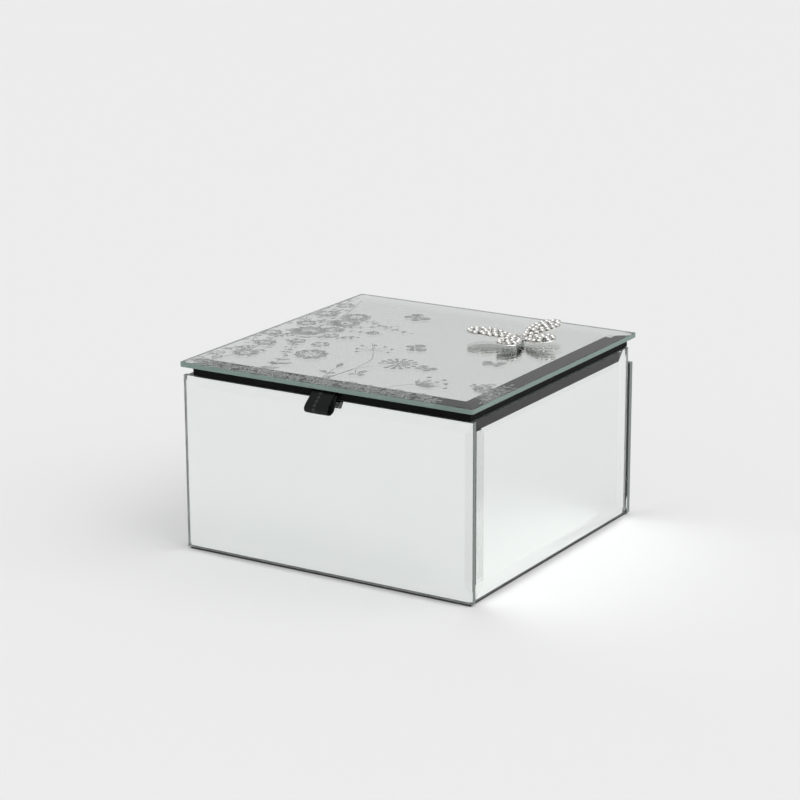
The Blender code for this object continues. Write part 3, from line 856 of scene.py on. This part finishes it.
def wing_outline(shape, side, count=40):
    """Round the wing from its root, in the butterfly's own plane, with the head along +X."""
    outline = [Vector((0, 0))]
    for index in range(1, count):
        share = 2 * index / count - 1
        radius = shape["length"] * math.cos(share * math.pi / 2) ** WING_FULLNESS
        angle = math.radians(side * (shape["heading"] + share * shape["spread"]))
        outline.append(Vector((radius * math.cos(angle), radius * math.sin(angle))))
    return outline if side > 0 else outline[::-1]


def room(point, outline):
    """How far inside the outline a point lies; negative outside."""
    nearest, crossings = math.inf, 0
    for start, stop in zip(outline, outline[1:] + outline[:1]):
        edge = stop - start
        share = min(max((point - start).dot(edge) / edge.length_squared, 0), 1)
        nearest = min(nearest, (start + edge * share - point).length)
        if (start.y > point.y) != (stop.y > point.y):
            if point.x < start.x + (point.y - start.y) / (stop.y - start.y) * (stop.x - start.x):
                crossings += 1
    return nearest if crossings % 2 else -nearest


def cut_stone(bm, matrix, radius):
    """A round stone: table, star and kite facets, girdle and a foiled pavilion, resting on its culet."""
    girdle = STONE_SEAT + PAVILION_DEPTH * radius
    crown = girdle + GIRDLE_DEPTH * radius + CROWN_DEPTH * radius

    def ring(size, height, count, shift):
        return [bm.verts.new(matrix @ spot) for spot in circle(size, count, height, shift)]

    table = ring(TABLE_SIZE * radius, crown, 8, 0.5)
    upper = ring(radius, girdle + GIRDLE_DEPTH * radius, 16, 0)
    lower = ring(radius, girdle, 16, 0)
    culet = ring(CULET_SIZE * radius, STONE_SEAT, 8, 0.5)
    bm.faces.new(table)
    bm.faces.new(culet[::-1]).material_index = 1
    for small, large, foiled in ((table, upper, 0), (culet, lower, 1)):
        for i in range(8):
            next_small, next_large, between = small[(i + 1) % 8], large[(2 * i + 2) % 16], large[2 * i + 1]
            for facet in ((small[i], next_small, next_large), (small[i], large[2 * i], between),
                          (small[i], between, next_large)):
                bm.faces.new(facet).material_index = foiled
    join_rings(bm, [upper, lower])


def set_stone(metal, stones, matrix, radius, turn):
    """A stone in its cup, held by four beads."""
    matrix = matrix @ Matrix.Rotation(turn, 4, "Z")
    seat = STONE_SEAT + PAVILION_DEPTH * radius
    cup = [(0.72 * radius, -0.1 * MM), (1.10 * radius, seat - 0.03 * MM), (1.12 * radius, seat + 0.02 * MM),
           (1.05 * radius, seat + 0.03 * MM), (0.66 * radius, STONE_SEAT + 0.1 * MM)]
    lathe(metal, matrix, cup, 14, closed=True)
    bead = BEAD_SIZE * radius
    for spot in circle(1.02 * radius, 4, seat + 0.11 * radius, 0.5):
        profile = [(share * bead, height * bead) for share, height in BEAD_PROFILE]
        lathe(metal, matrix @ Matrix.Translation(spot), profile, 7)
    cut_stone(stones, matrix, radius)


def pack_stones(outline, centre):
    """Places for stones in rows that follow the outline inwards, none nearer to another than the pitch."""
    reach = math.ceil(max((point - centre).length for point in outline) / STONE_GRID)
    grid = [value * STONE_GRID for value in range(-reach, reach + 1)]
    inside = [(room(centre + Vector((u, v)), outline), Vector((u, v))) for u in grid for v in grid]
    inside = [(depth - STONE_EDGE, offset) for depth, offset in inside if depth > STONE_EDGE]
    inside.sort(key=lambda item: (int(item[0] / STONE_ROW), math.atan2(item[1].y, item[1].x)))
    starts = [(depth, offset) for depth, offset in inside if depth % STONE_ROW <= 2 * STONE_GRID]
    spots = []
    for _, offset in starts + inside:
        if all((offset - other).length > STONE_PITCH for other in spots):
            spots.append(offset)
    return [centre + offset for offset in spots]


def make_wing(metal, stones, shape, side, base, dice):
    """A domed cast plate with a rolled rim, covered with stones that follow its outline."""
    outline = wing_outline(shape, side)
    centre = sum(outline, Vector((0, 0))) / len(outline)
    reach = max((point - centre).length for point in outline)

    def dome(point):
        return WING_DOME * (1 - ((point - centre).length / reach) ** 2)

    def on_plate(point, height):
        return base @ Vector((*point, dome(point) + height * PLATE_THICKNESS))

    rings = []
    for scale, height in RIM_PROFILE:
        spots = [on_plate(centre + (point - centre) * scale, height) for point in outline]
        rings.append([metal.verts.new(spot) for spot in spots])
    join_rings(metal, rings, capped=True)
    for spot in pack_stones(outline, centre):
        slope = (spot - centre) * (2 * WING_DOME / reach ** 2)
        lean = UP.rotation_difference(Vector((slope.x, slope.y, 1))).to_matrix().to_4x4()
        rest = base @ Matrix.Translation((*spot, dome(spot) + PLATE_FACE * PLATE_THICKNESS)) @ lean
        tilt = Matrix.Rotation(math.radians(dice.uniform(-STONE_TILT, STONE_TILT)), 4, "X")
        set_stone(metal, stones, rest @ tilt, STONE_RADIUS, dice.uniform(0, math.tau))


def make_body(metal, stones, base, dice):
    """A ringed, tapering body with a row of stones down its back, and the foot it is glued by."""
    length, width, height = BODY_SIZE
    rings = []
    for share in span(-0.97, 0.97, 26):
        swell = math.sqrt(1 - share * share) * (1 + 0.07 * math.cos(9 * math.pi * share)) * (1 + 0.12 * share)
        rings.append([
            metal.verts.new(base @ Vector((share * length / 2, swell * width / 2 * math.cos(angle),
                                           swell * height / 2 * math.sin(angle))))
            for angle in span(0, math.tau, 17)[:-1]
        ])
    join_rings(metal, rings, capped=True)
    for share, size in BODY_STONES:
        top = math.sqrt(1 - share * share) * height / 2 - 0.35 * MM
        set_stone(metal, stones, base @ Matrix.Translation((share * length / 2, 0, top)), size * MM,
                  dice.uniform(0, math.tau))
    drop = base.translation.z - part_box("lid_mirror")[1].z - FOOT_GAP
    foot = [(FOOT_RADIUS, -drop), (FOOT_RADIUS, -drop + 0.3 * MM), (0.7 * FOOT_RADIUS, -drop + 0.5 * MM),
            (0.6 * FOOT_RADIUS, 0)]
    lathe(metal, base, foot, 24)


def make_butterfly():
    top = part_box("lid_mirror")[1].z
    base = (Matrix.Translation((*BUTTERFLY_AT, top + BUTTERFLY_HEIGHT))
            @ Matrix.Rotation(math.radians(BUTTERFLY_HEADING), 4, "Z"))
    metal, stones = bmesh.new(), bmesh.new()
    dice = random.Random(5)
    for shape in (HINDWING, FOREWING):
        for side, lift in ((1, LEFT_LIFT), (-1, RIGHT_LIFT)):
            raised = base @ Matrix.Rotation(math.radians(side * lift), 4, "X")
            step = Matrix.Translation((0, 0, WING_STEP if shape is FOREWING else 0.0))
            make_wing(metal, stones, shape, side, raised @ step, dice)
    make_body(metal, stones, base @ Matrix.Translation((0, 0, BODY_RISE)), dice)
    casting = mesh_object("butterfly_casting", metal, silver_plate(), smooth=40)
    place(casting, "lid", "silver_plate", "butterfly")
    place(mesh_object("butterfly_stones", stones, paste(), foil()), "lid", "silver_plate")


# --- pull tab ---

def make_pull_tab():
    """A satin ribbon that comes out under the glass, loops down over the front and goes back in.

    Its points outside are in millimetres, from the front and top of the case.
    """
    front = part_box("front_mirror")[0].y
    case_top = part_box("front_mirror")[1].z
    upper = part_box("lid_board")[1].z - CLEARANCE
    lower = upper - TAB_ENDS_APART
    slot_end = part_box("pull_tab")[1].y - 0.1 * MM
    outside = ((0.1, -1.4, 0.2), (-0.5, -2.8, -2.0), (-0.9, -3.2, -3.6), (-0.9, -2.8, -5.0),
               (-0.6, -1.9, -5.5), (-0.1, -1.0, -4.9), (0.6, -0.6, -3.5), (1.3, -0.6, -0.8), (1.5, -0.1, 1.1))
    hand_set = [
        (0.5 * MM, slot_end, upper), (0.5 * MM, front + 2.5 * MM, upper),
        (0.5 * MM, front + 0.2 * MM, upper - 0.7 * MM),
        *((x * MM, front + y * MM, case_top + z * MM) for x, y, z in outside),
        (1.6 * MM, front + 1.2 * MM, lower - 0.1 * MM), (1.6 * MM, front + 2.5 * MM, lower),
        (1.6 * MM, slot_end, lower),
    ]
    route = smooth_route([Vector(spot) for spot in hand_set], 7)
    bm = bmesh.new()
    cloth = bm.loops.layers.uv.new("ribbon")
    flat, rings, travelled = {}, [], 0.0
    shares = span(-1, 1, TAB_COLUMNS)
    for index, point in enumerate(route):
        ahead = route[min(index + 1, len(route) - 1)] - route[max(index - 1, 0)]
        normal = Vector((0, -ahead.z, ahead.y)).normalized()
        progress = index / (len(route) - 1)
        travelled += (point - route[index - 1]).length if index else 0.0
        free = math.sin(math.pi * progress) ** 2
        ring = []
        for face in (1, -1):
            for share in shares if face > 0 else shares[::-1]:
                selvedge = 0.65 if abs(share) > 0.99 else 1.0 + 0.25 * (abs(share) > 0.88)
                rise = face * selvedge * TAB_THICKNESS / 2 + 0.10 * MM * free * (share * share - 0.3)
                across = Vector((share * TAB_WIDTH / 2 * (1 + TAB_SPREAD * free), 0, 0))
                corner = bm.verts.new(point + across + normal * rise)
                flat[corner] = (share * TAB_WIDTH / 2 / MM, travelled / MM)
                ring.append(corner)
        rings.append(ring)
    join_rings(bm, rings, capped=True)
    for face in bm.faces:
        for loop in face.loops:
            loop[cloth].uv = flat[loop.vert]
    ribbon = place(mesh_object("ribbon_tab", bm, satin(), smooth=50), "lid", "black_satin", "pull_tab")


# --- velvet pads ---

def make_pad(name, node, body, crown_up, edge, pull, look):
    """A stuffed pad in the CAD node's box: crowned, drawn in between its corners, with a welt round it."""
    low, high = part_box(node)
    middle, half = (low + high) / 2, (high - low) / 2
    thickness, face = high.z - low.z, 1 if crown_up else -1
    flat_z, welt = (low.z if crown_up else high.z), WELT_RADIUS * thickness
    bm = bmesh.new()

    def spot(u, v, height):
        x = u * (half.x - welt - pull * (1 - v * v))
        y = v * (half.y - welt - pull * (1 - u * u))
        return Vector((middle.x + x, middle.y + y, flat_z + face * height))

    def crown(u, v):
        rim = (1 - abs(u) ** 7) * (1 - abs(v) ** 7)
        dimple = 0.03 * math.sin(9 * u + 2 * v) * math.sin(8 * v - u) * (1 - rim)
        swell = rim ** 0.55 * (0.80 + 0.20 * (1 - u * u) * (1 - v * v)) + dimple
        return thickness * min(edge + (1 - edge) * swell, 1)

    places = [math.sin(value * math.pi / 2) for value in span(-1, 1, PAD_GRID)]
    upper = [[bm.verts.new(spot(u, v, crown(u, v))) for u in places] for v in places]
    under = [[bm.verts.new(spot(u * 0.985, v * 0.985, 0.0)) for u in places] for v in places]
    for sheet in (upper, under):
        join_rings(bm, sheet, closed=False)

    def rim_of(sheet):
        last = PAD_GRID - 1
        columns = [[row[side] for row in sheet] for side in (last, 0)]
        return sheet[0][:-1] + columns[0][:-1] + sheet[last][:0:-1] + columns[1][:0:-1]

    join_rings(bm, [rim_of(upper), rim_of(under)])
    route = [corner.co + Vector((0, 0, -face * edge * thickness * 0.5)) for corner in rim_of(upper)]
    rings = []
    for index, point in enumerate(route):
        ahead = (route[(index + 1) % len(route)] - route[index - 1]).normalized()
        side = ahead.cross(UP)
        rings.append([
            bm.verts.new(point + welt * (math.cos(angle) * side + math.sin(angle) * UP))
            for angle in span(0, math.tau, 9)[:-1]
        ])
    join_rings(bm, rings + [rings[0]])
    return place(mesh_object(name, bm, look, smooth=60), body, "black_velvet", node)


def make_pads(look):
    floor = make_pad("velvet_floor_pad", "floor_pad", "case", True, 0.55, 0.5 * MM, look)
    ceiling = make_pad("velvet_lid_pad", "lid_lining", "lid", False, 0.45, 0.4 * MM, look)


# --- studio ---

def towards(azimuth, elevation):
    """A direction from the origin: azimuth from +X towards +Y, both angles in degrees."""
    azimuth, elevation = math.radians(azimuth), math.radians(elevation)
    flat = math.cos(elevation)
    return Vector((flat * math.cos(azimuth), flat * math.sin(azimuth), math.sin(elevation)))


def make_camera():
    forward = Vector((-math.sin(CAMERA_YAW) * math.cos(CAMERA_PITCH),
                      math.cos(CAMERA_YAW) * math.cos(CAMERA_PITCH), -math.sin(CAMERA_PITCH)))
    level = Vector((math.cos(CAMERA_YAW), math.sin(CAMERA_YAW), 0))
    above = level.cross(forward)
    right = math.cos(CAMERA_ROLL) * level + math.sin(CAMERA_ROLL) * above
    up = math.cos(CAMERA_ROLL) * above - math.sin(CAMERA_ROLL) * level
    data = bpy.data.cameras.new("camera")
    data.lens = CAMERA_LENS
    data.clip_start = 0.01
    camera = add_object("camera", data)
    turn = Matrix((right, up, -forward)).transposed().to_4x4()
    camera.matrix_world = Matrix.Translation(CAMERA_PLACE) @ turn
    bpy.context.scene.camera = camera


def soft_light(name, azimuth, elevation, width, strength):
    """A far-off round soft box, which lights the whole floor evenly."""
    data = bpy.data.lights.new(name, "SUN")
    data.angle = math.radians(width)
    data.energy = strength
    lamp = add_object(name, data)
    aim = towards(azimuth, elevation)
    lamp.location = aim
    lamp.rotation_euler = (-aim).to_track_quat("-Z", "Y").to_euler()


def make_floor():
    bm = bmesh.new()
    rings = []
    for radius in (0.25, 0.6, 1.5, 3.5, FLOOR_RADIUS):
        rings.append([bm.verts.new(spot) for spot in circle(radius, 96, -FLOOR_DROP)])
    join_rings(bm, rings)
    bm.faces.new(rings[0])
    look = Look("studio floor", Specular_IOR_Level=0.1)
    grain = look.noise(2 * MM, 4, 0.6)
    lighter = [value * 1.006 for value in FLOOR_COLOUR]
    look.colour(grain, FLOOR_COLOUR, lighter)
    look.roughness(grain, 0.85, 0.95)
    mesh_object("floor", bm, look.material)


def make_backdrop():
    """A world whose light falls off a little above the horizon."""
    world = bpy.data.worlds.new("studio")
    world.use_nodes = True
    bpy.context.scene.world = world
    tree = world.node_tree
    place_of = tree.nodes.new("ShaderNodeTexCoord")
    parts = tree.nodes.new("ShaderNodeSeparateXYZ")
    fall = tree.nodes.new("ShaderNodeMapRange")
    fall.interpolation_type = "SMOOTHSTEP"
    tree.links.new(place_of.outputs["Generated"], parts.inputs[0])
    tree.links.new(parts.outputs["Z"], fall.inputs["Value"])
    levels = {"From Min": 0.0, "From Max": HORIZON_RISE, "To Min": HORIZON_LIGHT, "To Max": BACKDROP_LIGHT}
    for name, level in levels.items():
        fall.inputs[name].default_value = level
    background = tree.nodes["Background"]
    tree.links.new(fall.outputs["Result"], background.inputs["Strength"])
    background.inputs["Color"].default_value = (1.0, 1.0, 1.0, 1.0)


def make_studio():
    make_camera()
    make_floor()
    make_backdrop()
    soft_light("key", *KEY_LIGHT)
    soft_light("overhead", *TOP_LIGHT)
    view = bpy.context.scene.view_settings
    view.view_transform = "Standard"
    view.look = "None"
    bpy.context.scene.cycles.blur_glossy = 0.0


make_studio()
make_glass()
make_lid_paint()
velvet_look = dress_frame()
make_print()
make_butterfly()
make_pull_tab()
make_pads(velvet_look)
